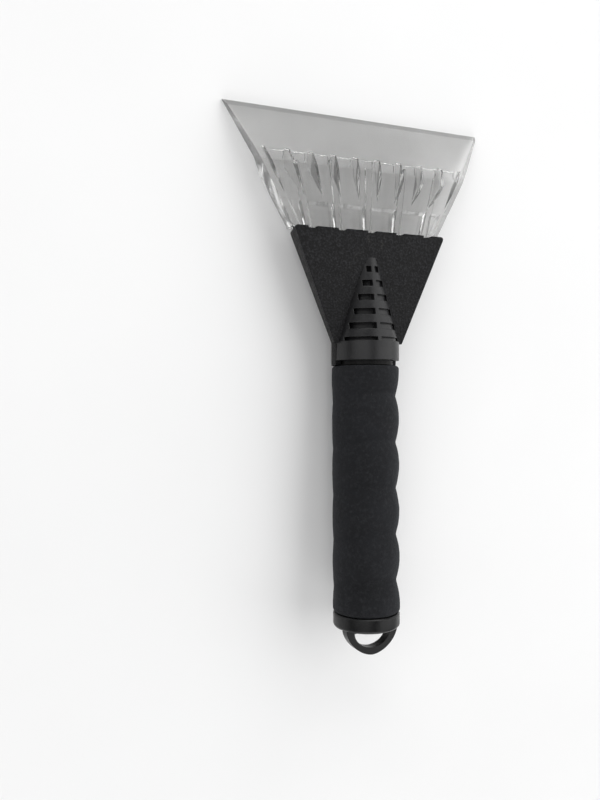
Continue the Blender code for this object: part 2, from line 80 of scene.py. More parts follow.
CAP_R, CAP_Z = 14.1, -6.6
LOOP_Z, LOOP_HALF_W, LOOP_T, LOOP_Y = -17.3, 11.9, 4.4, -3.2
HOLE_TOP_Z, HOLE_BOTTOM_Z, HOLE_HALF_W = -7.8, -14.3, 8.2
SCREW_R, SCREW_HEAD_R, SCREW_HEAD_T = 1.25, 2.7, 1.7
SIDE_SCREW_X, SIDE_SCREW_Z, LOW_SCREW_Z, BOSS_R = 14.0, 147.5, 119.5, 3.2

TILT = math.atan2(COLLAR_R - 7.0, TIP_Z - WAIST_Z)
ANGLE = -math.pi / 2 - TILT


def laid(y, z):
    c, s = math.cos(ANGLE), math.sin(ANGLE)
    return y * c - z * s, y * s + z * c


_hi = max(laid(6.5, TIP_Z)[0], laid(7.0, TIP_Z)[0])
_lo = min(laid(LOOP_Y + y, LOOP_Z)[0] for y in (-LOOP_T / 2 + 0.6, LOOP_T / 2 - 0.6))
LAY = (Matrix.Translation((0.0, -(_hi + _lo) / 2 * MM, -laid(7.0, TIP_Z)[1] * MM))
       @ Matrix.Rotation(ANGLE, 4, 'X') @ Matrix.Scale(MM, 4))


def lerp(a, b, t):
    return a + (b - a) * t


def clamp01(t):
    return 0.0 if t < 0.0 else 1.0 if t > 1.0 else t


def smooth(a, b, x):
    t = clamp01((x - a) / (b - a))
    return t * t * (3.0 - 2.0 * t)


def head_t(z):
    return (z - WAIST_Z) / (LIP_Z - WAIST_Z)


def head_half_w(z):
    return lerp(WAIST_HALF_W, HEAD_HALF_W, head_t(z))


def front_y(z):
    return lerp(FRONT_Y_WAIST, FRONT_Y_TOP, head_t(z))


def rear_y(z):
    return lerp(REAR_Y_WAIST, REAR_Y_TOP, head_t(z))


def rear_taper(z):
    return lerp(REAR_TAPER_WAIST, REAR_TAPER_TOP, head_t(z))


def spine_radii(z):
    t = (z - WAIST_Z) / (SPINE_TOP_Z - WAIST_Z)
    across = COLLAR_R - SPINE_NARROW * max(t, 0.0)
    along = -front_y(z) + SPINE_SLOPE * (SPINE_TOP_Z - 1.0 - z)
    return across, along


def blade_half_w(z):
    return lerp(BASE_HALF_W, TIP_HALF_W, (z - BASE_Z) / (TIP_Z - BASE_Z))


def rib_x(k, z):
    return k * lerp(RIB_PITCH_LIP, RIB_PITCH_TOP, (z - LIP_Z) / (TOOTH_Z - LIP_Z))


# ---------------------------------------------------------------------------
# mesh helpers
# ---------------------------------------------------------------------------
SCENE = bpy.context.scene
SCENE.view_settings.view_transform = 'Standard'
PIECES = bpy.data.collections.new("visual_pieces")
SCENE.collection.children.link(PIECES)
SCRATCH = []


def obj(name, bm, normals=True):
    if normals:
        bm.normal_update()
        bmesh.ops.recalc_face_normals(bm, faces=bm.faces[:])
    mesh = bpy.data.meshes.new(name)
    bm.to_mesh(mesh)
    bm.free()
    ob = bpy.data.objects.new(name, mesh)
    PIECES.objects.link(ob)
    return ob


def scratch(bm):
    ob = obj("tmp_%03d" % len(SCRATCH), bm)
    SCRATCH.append(ob)
    return ob


def boolean(ob, bm, operation):
    mod = ob.modifiers.new("b%d" % len(ob.modifiers), 'BOOLEAN')
    mod.object = scratch(bm)
    mod.operation = operation
    mod.solver = 'EXACT'


def cut(ob, bm):
    boolean(ob, bm, 'DIFFERENCE')


def join(ob, bm):
    boolean(ob, bm, 'UNION')


def keep(ob, bm):
    boolean(ob, bm, 'INTERSECT')


def settle(ob):
    """Apply the modifiers to the object's own mesh and drop the scratch bodies."""
    dg = bpy.context.evaluated_depsgraph_get()
    dg.update()
    mesh = bpy.data.meshes.new_from_object(ob.evaluated_get(dg))
    mesh.name = ob.name
    ob.modifiers.clear()
    ob.data = mesh
    while SCRATCH:
        bpy.data.objects.remove(SCRATCH.pop(), do_unlink=True)
    return ob


def soften(ob, width, segments=2, angle=38):
    """Small radius on every sharp edge, as a moulding has."""
    bm = bmesh.new()
    bm.from_mesh(ob.data)
    bmesh.ops.remove_doubles(bm, verts=bm.verts[:], dist=0.01)
    bm.to_mesh(ob.data)
    bm.free()
    mod = ob.modifiers.new("soft", 'BEVEL')
    mod.width = width
    mod.segments = segments
    mod.limit_method = 'ANGLE'
    mod.angle_limit = math.radians(angle)
    mod.use_clamp_overlap = True
    mod.miter_outer = 'MITER_ARC'
    settle(ob)


def place(ob, node, mat, smooth_angle=35.0):
    """Into the frame, riding on the one body, standing for its CAD node."""
    ob.data.transform(LAY)
    ob.data.materials.clear()
    for m in (mat if isinstance(mat, (list, tuple)) else [mat]):
        ob.data.materials.append(m)
    if smooth_angle is not None:
        ob.data.shade_smooth()
        ob.data.set_sharp_from_angle(angle=math.radians(smooth_angle))
        mod = ob.modifiers.new("face_weighted", 'WEIGHTED_NORMAL')
        mod.weight = 90
        mod.keep_sharp = True
    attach(ob, "root")
    if node:
        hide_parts(node)
    return ob


def shaped_block(fn):
    bm = bmesh.new()
    bmesh.ops.create_cube(bm, size=1.0)
    for v in bm.verts:
        v.co = Vector(fn(round(v.co.x + 0.5), round(v.co.y + 0.5), round(v.co.z + 0.5)))
    return bm


def block(x0, x1, y0, y1, z0, z1):
    x0, x1 = min(x0, x1), max(x0, x1)
    return shaped_block(lambda a, b, c: (lerp(x0, x1, a), lerp(y0, y1, b), lerp(z0, z1, c)))


def rod(r0, r1, z0, z1, segments=96):
    bm = bmesh.new()
    bmesh.ops.create_cone(bm, cap_ends=True, segments=segments, radius1=r0, radius2=r1,
                          depth=z1 - z0)
    bmesh.ops.translate(bm, vec=(0, 0, (z0 + z1) / 2), verts=bm.verts[:])
    return bm


def rod_y(r, y0, y1, x, z, segments=48):
    bm = rod(r, r, y0, y1, segments)
    bmesh.ops.rotate(bm, cent=(0, 0, 0), matrix=Matrix.Rotation(-math.pi / 2, 3, 'X'),
                     verts=bm.verts[:])
    bmesh.ops.translate(bm, vec=(x, 0, z), verts=bm.verts[:])
    return bm


def turned(profile, segments=96):
    bm = bmesh.new()
    verts = [bm.verts.new((r, 0, z)) for r, z in profile]
    edges = [bm.edges.new((a, b)) for a, b in zip(verts, verts[1:])]
    if profile[0][0] > 1e-9:
        edges.append(bm.edges.new((verts[-1], verts[0])))
    bmesh.ops.spin(bm, geom=verts + edges, cent=(0, 0, 0), axis=(0, 0, 1),
                   angle=2 * math.pi, steps=segments, use_merge=True)
    bmesh.ops.remove_doubles(bm, verts=bm.verts[:], dist=1e-4)
    return bm


def bevel_edges(bm, test, width, segments=3):
    edges = [e for e in bm.edges if test(e.verts[0].co, e.verts[1].co)]
    bmesh.ops.bevel(bm, geom=edges, offset=width, offset_type='OFFSET',
                    segments=segments, profile=0.5, affect='EDGES')
    return bm


# ---------------------------------------------------------------------------
# materials
# ---------------------------------------------------------------------------
class Mat:
    """Short hand for building a Principled node tree in object coordinates."""

    def __init__(self, name):
        self.mat = bpy.data.materials.new(name)
        self.mat.use_nodes = True
        self.nt = self.mat.node_tree
        self.bsdf = self.nt.nodes["Principled BSDF"]
        self.coord = self.nt.nodes.new("ShaderNodeTexCoord").outputs["Object"]

    def set(self, **values):
        for key, value in values.items():
            self.bsdf.inputs[key.replace("_", " ")].default_value = value
        return self

    def node(self, kind, **props):
        n = self.nt.nodes.new(kind)
        for key, value in props.items():
            setattr(n, key, value)
        return n

    def link(self, a, b):
        self.nt.links.new(a, b)

    def scaled(self, sx, sy, sz):
        m = self.node("ShaderNodeMapping")
        m.inputs["Scale"].default_value = (sx, sy, sz)
        self.link(self.coord, m.inputs["Vector"])
        return m.outputs["Vector"]

    def noise(self, scale, detail=2.0, rough=0.5, distortion=0.0, vector=None):
        n = self.node("ShaderNodeTexNoise")
        n.inputs["Scale"].default_value = scale
        n.inputs["Detail"].default_value = detail
        n.inputs["Roughness"].default_value = rough
        n.inputs["Distortion"].default_value = distortion
        self.link(vector or self.coord, n.inputs["Vector"])
        return n.outputs["Fac"]

    def voronoi(self, scale, feature='F1', vector=None, output="Distance"):
        n = self.node("ShaderNodeTexVoronoi", feature=feature)
        n.inputs["Scale"].default_value = scale
        self.link(vector or self.coord, n.inputs["Vector"])
        return n.outputs[output]

    def remap(self, value, a, b, c, d):
        n = self.node("ShaderNodeMapRange")
        n.clamp = True
        for i, x in enumerate((a, b, c, d)):
            n.inputs[i + 1].default_value = x
        self.link(value, n.inputs[0])
        return n.outputs[0]

    def math(self, op, a, b):
        n = self.node("ShaderNodeMath", operation=op)
        for i, x in enumerate((a, b)):
            if isinstance(x, (int, float)):
                n.inputs[i].default_value = x
            else:
                self.link(x, n.inputs[i])
        return n.outputs[0]

    def ramp(self, value, stops):
        n = self.node("ShaderNodeValToRGB")
        el = n.color_ramp.elements
        while len(el) < len(stops):
            el.new(0.5)
        for e, (p, c) in zip(el, stops):
            e.position = p
            e.color = (*c, 1.0)
        self.link(value, n.inputs[0])
        return n.outputs["Color"]

    def mix(self, fac, a, b):
        n = self.node("ShaderNodeMix", data_type='RGBA')
        for socket, x in ((n.inputs["Factor"], fac), (n.inputs[6], a), (n.inputs[7], b)):
            if isinstance(x, tuple):
                socket.default_value = (*x, 1.0)
            elif isinstance(x, (int, float)):
                socket.default_value = x
            else:
                self.link(x, socket)
        return n.outputs[2]

    def bump(self, height, strength, distance, previous=None):
        n = self.node("ShaderNodeBump")
        n.inputs["Strength"].default_value = strength
        n.inputs["Distance"].default_value = distance
        self.link(height, n.inputs["Height"])
        if previous is not None:
            self.link(previous, n.inputs["Normal"])
        return n.outputs["Normal"]

    def rounded(self, radius):
        n = self.node("ShaderNodeBevel", samples=4)
        n.inputs["Radius"].default_value = radius
        return n.outputs["Normal"]

    def out(self, colour=None, roughness=None, normal=None):
        if colour is not None:
            self.link(colour, self.bsdf.inputs["Base Color"])
        if roughness is not None:
            self.link(roughness, self.bsdf.inputs["Roughness"])
        if normal is not None:
            self.link(normal, self.bsdf.inputs["Normal"])
        return self.mat


def clear_plastic(name, lo, hi, rough_lo, rough_hi, alpha):
    m = Mat(name)
    m.set(Transmission_Weight=1.0, IOR=1.52, Metallic=0.0, Alpha=alpha)
    haze = m.noise(60.0, 3.0, 0.6)
    streak = m.noise(170.0, 3.0, 0.6, vector=m.scaled(1.0, 0.07, 0.07))
    haze = m.math('ADD', m.math('MULTIPLY', haze, 0.55), m.math('MULTIPLY', streak, 0.45))
    colour = m.ramp(haze, [(0.3, (lo, lo, lo * 0.992)), (0.7, (hi, hi, hi * 0.992))])
    scuff = m.noise(900.0, 2.0, 0.6, vector=m.scaled(0.35, 1.0, 1.0))
    rough = m.remap(scuff, 0.35, 0.75, rough_lo, rough_hi)
    ripple = m.noise(45.0, 2.0, 0.5)
    normal = m.bump(ripple, 0.35, 0.0006)
    normal = m.bump(scuff, 0.05, 0.0001, normal)
    return m.out(colour, rough, normal)


def head_plastic(name, grain, rough_lo, rough_hi, base, gloss, speckle):
    """Moulded black plastic with a spark-eroded grain of about half a millimetre."""
    m = Mat(name)
    m.set(IOR=1.48, Specular_IOR_Level=gloss)
    fine = m.noise(1250.0, 3.0, 0.72)
    cells = m.voronoi(1150.0, 'SMOOTH_F1')
    patch = m.noise(75.0, 3.0, 0.55)
    streak = m.noise(210.0, 2.0, 0.5, vector=m.scaled(1.0, 0.25, 1.0))
    tone = m.math('ADD', m.math('MULTIPLY', patch, 0.6), m.math('MULTIPLY', streak, 0.4))
    lo = tuple(c * 0.72 for c in base)
    hi = tuple(c * 1.45 for c in base)
    colour = m.ramp(tone, [(0.32, lo), (0.68, hi)])
    speck = m.remap(fine, 0.48, 0.64, 0.0, 1.0)
    colour = m.mix(speck, colour, tuple(c * speckle for c in base))
    scuff = m.noise(85.0, 7.0, 0.80, distortion=1.4, vector=m.scaled(1.0, 0.55, 1.0))
    worn = m.math('MULTIPLY', m.remap(scuff, 0.60, 0.74, 0.0, 1.0), m.remap(fine, 0.40, 0.62, 0.0, 0.85))
    colour = m.mix(worn, colour, (0.034, 0.032, 0.029))
    rough = m.remap(m.noise(320.0, 3.0, 0.6), 0.3, 0.7, rough_lo, rough_hi)
    height = m.math('ADD', m.math('MULTIPLY', fine, 0.65), m.math('MULTIPLY', cells, 0.5))
    normal = m.bump(patch, 0.10, 0.0008, m.rounded(0.00035))
    normal = m.bump(height, grain, 0.00040, normal)
    return m.out(colour, rough, normal)


def foam_material():
    m = Mat("closed_cell_foam")
    m.set(IOR=1.35, Sheen_Weight=0.04, Sheen_Roughness=0.5)
    m.bsdf.inputs["Sheen Tint"].default_value = (0.75, 0.8, 0.9, 1.0)
    pores = m.voronoi(2100.0, 'F1')
    fine = m.noise(3200.0, 3.0, 0.7)
    blotch = m.noise(65.0, 4.0, 0.6)
    base = m.ramp(blotch, [(0.3, (0.0052, 0.0056, 0.0068)), (0.7, (0.0100, 0.0106, 0.0130))])
    pit = m.remap(pores, 0.05, 0.42, 0.0, 1.0)
    colour = m.mix(pit, (0.006, 0.0063, 0.007), base)
    mottle = m.noise(620.0, 3.0, 0.7)
    colour = m.mix(m.remap(mottle, 0.48, 0.70, 0.0, 0.8), colour, (0.0175, 0.0182, 0.0205))
    scuff = m.noise(420.0, 5.0, 0.75, distortion=0.6, vector=m.scaled(1.0, 0.35, 1.0))
    colour = m.mix(m.remap(scuff, 0.66, 0.80, 0.0, 0.5), colour, (0.07, 0.07, 0.072))
    rough = m.remap(fine, 0.3, 0.7, 0.82, 0.98)
    normal = m.bump(blotch, 0.25, 0.0012)
    normal = m.bump(pores, 0.55, 0.00018, normal)
    normal = m.bump(fine, 0.35, 0.00008, normal)
    return m.out(colour, rough, normal)


def satin_plastic(name, base, lo, hi, gloss):
    m = Mat(name)
    m.set(IOR=1.5, Specular_IOR_Level=gloss)
    flow = m.noise(130.0, 4.0, 0.6, distortion=0.4)
    fine = m.noise(1900.0, 2.0, 0.6)
    colour = m.ramp(flow, [(0.3, tuple(c * 0.75 for c in base)), (0.7, tuple(c * 1.35 for c in base))])
    rough = m.remap(m.noise(380.0, 3.0, 0.65), 0.3, 0.7, lo, hi)
    normal = m.bump(flow, 0.18, 0.0005, m.rounded(0.0003))
    normal = m.bump(fine, 0.16, 0.00006, normal)
    return m.out(colour, rough, normal)


def steel():
    m = Mat("zinc_steel")
    m.set(Metallic=1.0)
    grain = m.noise(900.0, 3.0, 0.6)
    colour = m.ramp(grain, [(0.3, (0.42, 0.42, 0.43)), (0.7, (0.62, 0.62, 0.61))])
    rough = m.remap(m.noise(2600.0, 2.0, 0.6), 0.3, 0.7, 0.24, 0.42)
    normal = m.bump(m.noise(3500.0, 2.0, 0.6), 0.12, 0.00004)
    return m.out(colour, rough, normal)


CLEAR = clear_plastic("clear_polycarbonate", 0.66, 0.73, 0.02, 0.09, 0.94)
CLEAR_WORN = clear_plastic("clear_polycarbonate_worn", 0.46, 0.56, 0.16, 0.28, 0.94)
# painted shade: a darker tint for the walls of the notches between the teeth
CLEAR_PAINTED_SHADE = clear_plastic("clear_polycarbonate_painted_shade", 0.20, 0.34, 0.04, 0.12, 0.96)
HEAD = head_plastic("head_plastic", 0.75, 0.42, 0.60, (0.0024, 0.0024, 0.0027), 0.18, 7.5)
# same plastic as the plate, with less grain and more gloss; the lighter base colour is painted light on
# the spine and collar
SPINE_SMOOTH_PAINTED_LIGHT = head_plastic("spine_plastic_smooth_painted_light", 0.16, 0.30, 0.40, (0.0068, 0.0068, 0.0075), 0.40, 1.6)
FOAM = foam_material()
CAP = satin_plastic("cap_plastic", (0.0042, 0.0042, 0.0045), 0.26, 0.40, 0.30)
CORE = satin_plastic("core_plastic", (0.004, 0.004, 0.0042), 0.42, 0.56, 0.18)
STEEL = steel()

# ---------------------------------------------------------------------------
# blade: the wedge profile swept across, with ribs, rails, teeth and a tang
# ---------------------------------------------------------------------------
TANG_LOW_HALF_W, TANG_Z, RAIL_W, BLOCK_Y = 20.5, 139.0, 4.0, -3.4


def hull(points):
    bm = bmesh.new()
    for p in points:
        bm.verts.new(p)
    out = bmesh.ops.convex_hull(bm, input=bm.verts[:])
    junk = {g for key in ("geom_interior", "geom_unused") for g in out[key]
            if isinstance(g, bmesh.types.BMVert)}
    if junk:
        bmesh.ops.delete(bm, geom=list(junk), context='VERTS')
    return bm


def arc(p, q, r, n=4):
    """Points of a hollow of depth r between p and q, both ends left out."""
    (y0, z0), (y1, z1) = p, q
    return [(lerp(y0, y1, i / n) + r * math.sin(math.pi * i / n), lerp(z0, z1, i / n))
            for i in range(1, n)]


def blade_blank():
    edge = [(7.0, TIP_Z), (6.5, TIP_Z), (3.9, TIP_Z - 2.7), (-1.9, TOOTH_Z)]
    face = [(-2.35, TOOTH_Z - 1.9), (-3.2, TOOTH_FACE_Z + 0.7), (-3.34, TOOTH_FACE_Z + 0.2),
            (BLOCK_Y, TOOTH_FACE_Z - 0.4)]
    step = [(BLOCK_Y, STEP_Z + 1.1), (-3.3, STEP_Z + 0.75), (-2.9, STEP_Z + 0.35),
            (-1.2, STEP_Z - 0.45), (-0.8, STEP_Z - 0.85), (PLATE_Y, STEP_Z - 1.3)]
    rear = [(PLATE_Y, BASE_Z), (3.9, BASE_Z), (4.8, 172.0), (4.9, 182.0), (2.9, 187.5)]
    bm = bmesh.new()
    left = [bm.verts.new((-blade_half_w(z), y, z)) for y, z in edge + face + step + rear]
    out = bmesh.ops.extrude_face_region(bm, geom=[bm.faces.new(left)])
    for g in out["geom"]:
        if isinstance(g, bmesh.types.BMVert):
            g.co.x = blade_half_w(g.co.z)
    return bm


def build_blade():
    ob = obj("blade_clear_body", blade_blank())
    for k in range(-2, 3):
        def rib(sx, sy, sz, k=k):
            z = 188.0 if sz else 152.0
            y = 0.5 if sy else (RIB_Y - 0.25 if sz else RIB_Y)
            half = RIB_HALF_W - (0.0 if sy else 0.18)
            return (rib_x(k, z) + (half if sx else -half), y, z)
        join(ob, shaped_block(rib))
    for s in (-1, 1):
        def rail(sx, sy, sz, s=s):
            z = STEP_Z + 3.0 if sz else BASE_Z
            w = blade_half_w(z)
            return (s * (w - 0.05 if sx else w - RAIL_W + (0.0 if sy else 0.3)),
                    1.0 if sy else BLOCK_Y + 0.25, z)
        join(ob, shaped_block(rail))

    def tang_corner(sx, sy, sz):
        w = TANG_HALF_W if sz else TANG_LOW_HALF_W
        return (w if sx else -w, TANG_REAR_Y if sy else PLATE_Y, LIP_Z + 3.0 if sz else TANG_Z)
    tang = shaped_block(tang_corner)
    bevel_edges(tang, lambda a, b: a.z < TANG_Z + 0.1 and b.z < TANG_Z + 0.1
                and abs(a.y - b.y) > 1 and a.x * b.x > 0, 2.5, 4)
    join(ob, tang)
    for i in range(TEETH + 1):
        k = i - TEETH / 2
        x_top = k * TOOTH_PITCH
        x_low = x_top * blade_half_w(NOTCH_Z) / blade_half_w(TOOTH_Z)
        slim = 0.5 if abs(k) > TEETH / 2 - 0.1 else 1.0
        pts = []
        for s in (-1, 1):
            for w, y, z in ((2.6, -9.0, TOOTH_Z + 3.0), (0.7, -0.9, TOOTH_Z - 0.5),
                            (1.25, -1.15, TOOTH_Z - 0.45), (2.3, -9.0, TOOTH_FACE_Z - 1.0),
                            (0.6, -0.9, TOOTH_FACE_Z - 3.0), (1.05, -1.3, TOOTH_FACE_Z - 2.6)):
                cx = x_top * (blade_half_w(z) / blade_half_w(TOOTH_Z) if slim < 1 else 1.0)
                pts.append((cx + s * w * slim, y, z))
        pts += [(x_low, -9.0, NOTCH_Z - 4.0), (x_low, BLOCK_Y + 0.2, NOTCH_Z)]
        cut(ob, hull(pts))
    # a shallow dish in the sloped face of every tooth
    for i in range(TEETH):
        xc = (i - (TEETH - 1) / 2) * TOOTH_PITCH
        pts = []
        for z, half in ((186.3, 2.15), (189.9, 2.75)):
            y = lerp(-1.9, BLOCK_Y, (TOOTH_Z - z) / (TOOTH_Z - TOOTH_FACE_Z))
            for s in (-1, 1):
                pts += [(xc + s * (half + 0.5), y - 2.0, z + (0.3 if z > 188 else -0.3)),
                        (xc + s * half, y + 0.42, z)]
        dish = hull(pts)
        if abs(xc) > 41.0:
            bmesh.ops.translate(dish, vec=(-0.9 if xc > 0 else 0.9, 0, 0), verts=dish.verts[:])
        cut(ob, dish)
    for s in (-1, 1):
        cut(ob, rod_y(BOSS_R + GAP, -8, 8, s * SIDE_SCREW_X, SIDE_SCREW_Z))
    settle(ob)
    soften(ob, 0.13, 2, 24)
    # the ground scraping bevel and the slanting sides are scuffed; the walls of the notches and teeth get
    # a darker tint, painted shade
    for p in ob.data.polygons:
        n, c = p.normal, p.center
        bevel = c.z > TIP_Z - 2.75 and n.y < -0.3
        rim = abs(c.x) > blade_half_w(c.z) - 0.3
        side = abs(n.x) > 0.8 and rim and c.z > TOOTH_Z - 6.0
        painted_shade_wall = abs(n.x) > 0.45 and not rim and NOTCH_Z - 1.0 < c.z < TOOTH_Z + 1.0
        p.material_index = 2 if painted_shade_wall else 1 if bevel or side else 0
    return ob


blade = build_blade()
_index = [p.material_index for p in blade.data.polygons]
place(blade, "blade", [CLEAR, CLEAR_WORN, CLEAR_PAINTED_SHADE], 28)
for p, i in zip(blade.data.polygons, _index):
    p.material_index = i


# ---------------------------------------------------------------------------
# head shells
# ---------------------------------------------------------------------------
def head_slab(inset=0.0, y_front=0.0, y_rear=0.0, z0=None, z1=None):
    za = WAIST_Z if z0 is None else z0
    zb = LIP_Z if z1 is None else z1

    def corner(sx, sy, sz):
        z = zb if sz else za
        w = head_half_w(z) - inset - (rear_taper(z) if sy else 0.0)
        y = rear_y(z) - y_rear if sy else front_y(z) + y_front
        return ((1 if sx else -1) * w, y, z)
    return shaped_block(corner)


def spine_body(inset, z0, z1, rings=30, segments=112, inset_y=None):
    bm = bmesh.new()
    bmesh.ops.create_cone(bm, cap_ends=True, segments=segments, radius1=1.0, radius2=1.0,
                          depth=1.0)
    side = [e for e in bm.edges if abs(e.verts[0].co.z - e.verts[1].co.z) > 0.5]
    bmesh.ops.subdivide_edges(bm, edges=side, cuts=rings - 1)
    for v in bm.verts:
        z = lerp(z0, z1, v.co.z + 0.5)
        across, along = spine_radii(max(z, WAIST_Z))
        v.co = Vector((v.co.x * (across - inset),
                       v.co.y * (along - (inset if inset_y is None else inset_y)), z))
    return bm


def seam_half(front, offset):
    def corner(sx, sy, sz):
        z = 170.0 if sz else 95.0
        seam = front_y(z) + SEAM + offset
        y = seam if sy == front else (-40.0 if front else 40.0)
        return (80.0 if sx else -80.0, y, z)
    return shaped_block(corner)


def long_edge(a, b):
    return abs(a.z - b.z) > 20.0


def top_corner(a, b):
    return a.z > LIP_Z - 0.01 and b.z > LIP_Z - 0.01 and abs(a.x) > 25.0 and a.x * b.x > 0


def build_rear():
    outer = head_slab()
    bevel_edges(outer, lambda a, b: long_edge(a, b) and a.y > 0, 2.2, 6)
    bevel_edges(outer, top_corner, 1.8, 5)
    ob = obj("head_rear_shell_body", outer)
    join(ob, spine_body(0.0, WAIST_Z - 0.05, SPINE_TOP_Z))
    join(ob, rod(COLLAR_R, COLLAR_R, COLLAR_REAR_Z, WAIST_Z + 0.6, 128))
    cut(ob, head_slab(WALL, -20.0, WALL, WAIST_Z + 4.0, LIP_Z - WALL))
    cut(ob, spine_body(WALL + 0.2, WAIST_Z - 0.2, SPINE_TOP_Z - 3.0, 12, 64))
    cut(ob, rod(COLLAR_IN_R, COLLAR_IN_R, 95.0, WAIST_Z + 0.5, 96))
    cut(ob, block(-TANG_HALF_W - GAP, TANG_HALF_W + GAP, -20.0, TANG_REAR_Y + GAP,
                  LIP_Z - WALL - 1.0, LIP_Z + 5.0))
    for s in (-1, 1):
        x = s * SIDE_SCREW_X
        join(ob, rod_y(BOSS_R + 1.2, TANG_REAR_Y + GAP, rear_y(SIDE_SCREW_Z) - 0.4, x, SIDE_SCREW_Z))
        cut(ob, rod_y(SCREW_R + GAP, -8, 12, x, SIDE_SCREW_Z))
        cut(ob, rod_y(SCREW_HEAD_R + GAP, rear_y(SIDE_SCREW_Z) - SCREW_HEAD_T, 14, x, SIDE_SCREW_Z))
    low = spine_radii(LOW_SCREW_Z)[1]
    join(ob, rod_y(BOSS_R + 1.2, SPIGOT_R + GAP, low - 0.6, 0, LOW_SCREW_Z))
    cut(ob, rod_y(SCREW_R + GAP, -2, 20, 0, LOW_SCREW_Z))
    cut(ob, rod_y(SCREW_HEAD_R + GAP, low - 2.4, 20, 0, LOW_SCREW_Z))
    keep(ob, seam_half(False, GAP / 2))
    settle(ob)
    soften(ob, 0.28)
    return ob


def build_front():
    cover = head_slab()
    bevel_edges(cover, top_corner, 1.8, 5)
    ob = obj("head_front_cover_body", cover)
    join(ob, spine_body(0.0, WAIST_Z - 0.05, SPINE_TOP_Z))
    for i in range(SLOTS):
        zc = SLOT_TOP_Z - i * SLOT_PITCH
        reach = SLOT_LEN_TOP + i * SLOT_LEN_STEP
        for s in (-1, 1):
            cut(ob, block(s * SPINE_RIB_HALF, s * reach, -30.0, front_y(zc) + 0.7,
                          zc - SLOT_H / 2, zc + SLOT_H / 2))
    join(ob, spine_body(2.6, WAIST_Z - 0.3, SPINE_TOP_Z - 6.0, 20, 80))
    shallow = spine_body(0.5, WAIST_Z - 0.15, SPINE_TOP_Z - 4.5, 19, 72, 1.15)
    out = bmesh.ops.bisect_plane(
        shallow, geom=shallow.verts[:] + shallow.edges[:] + shallow.faces[:], dist=1e-4,
        plane_co=(0.35, 0, 0), plane_no=(1, 0, 0), clear_inner=True)
    bmesh.ops.contextual_create(
        shallow, geom=[e for e in out["geom_cut"] if isinstance(e, bmesh.types.BMEdge)])
    join(ob, shallow)
    join(ob, rod(COLLAR_R, COLLAR_R, COLLAR_FRONT_Z, WAIST_Z + 0.6, 128))
    cut(ob, spine_body(4.2, WAIST_Z - 0.2, SPINE_TOP_Z - 8.0, 12, 64))
    cut(ob, rod(COLLAR_IN_R, COLLAR_IN_R, 95.0, WAIST_Z - 1.2, 96))
    cut(ob, rod(SPIGOT_R + GAP, SPIGOT_R + GAP, 95.0, SPIGOT_TOP_Z + GAP, 64))
    keep(ob, seam_half(True, -GAP / 2))
    join(ob, block(-TANG_HALF_W, TANG_HALF_W, front_y(LIP_Z) + 0.6, PLATE_Y - GAP,
                   LIP_Z - WALL - 0.6, LIP_Z - 0.05))
    for k in range(-2, 3):
        def notch(sx, sy, sz, k=k, y0=RIB_Y - GAP, z0=148.0, extra=0.0):
            z = LIP_Z + 2.0 + extra if sz else z0
            half = RIB_HALF_W + GAP + extra
            return (rib_x(k, z) + (half if sx else -half), 0.5 if sy else y0, z)
        cut(ob, shaped_block(notch))
        cut(ob, shaped_block(lambda sx, sy, sz, n=notch, k=k: n(sx, sy, sz, k, -12.0, LIP_Z - 0.8, 0.15)))
    for s in (-1, 1):
        x = s * SIDE_SCREW_X
        join(ob, rod_y(BOSS_R, front_y(SIDE_SCREW_Z) + 0.6, TANG_REAR_Y, x, SIDE_SCREW_Z))
        cut(ob, rod_y(SCREW_R + GAP, front_y(SIDE_SCREW_Z) + 1.6, 12, x, SIDE_SCREW_Z))
    settle(ob)
    soften(ob, 0.28)
    # the spine and the collar are smoother than the grained plate; their lighter base colour is painted
    # light
    for p in ob.data.polygons:
        c = p.center
        plate = front_y(c.z) - 0.25
        p.material_index = 1 if (c.y < plate and abs(c.x) < 14.6 and c.z < SPINE_TOP_Z) \
            or c.z < WAIST_Z + 0.7 else 0
    return ob


front = build_front()
_index = [p.material_index for p in front.data.polygons]
place(front, "head_front_cover", [HEAD, SPINE_SMOOTH_PAINTED_LIGHT], 35)
for p, i in zip(front.data.polygons, _index):
    p.material_index = i
place(build_rear(), "head_rear_shell", HEAD, 35)


# ---------------------------------------------------------------------------
# foam grip
# ---------------------------------------------------------------------------
def groove(z):
    last = GROOVE_FIRST_Z + (GROOVES - 1) * GROOVE_PITCH
    if z < GROOVE_FIRST_Z:
        u = min((GROOVE_FIRST_Z - z) / (GROOVE_PITCH / 2), 1.0)
    elif z > last:
        u = min((z - last) / (GROOVE_PITCH / 2), 1.0)
    else:
        u = abs(((z - GROOVE_FIRST_Z + GROOVE_PITCH / 2) % GROOVE_PITCH)
                - GROOVE_PITCH / 2) / (GROOVE_PITCH / 2)
    u = math.sqrt(u * u + 0.0036) if u < 0.9 else u
    return 1.0 - math.sin(math.pi / 2 * min(u, 1.0)) ** 0.8


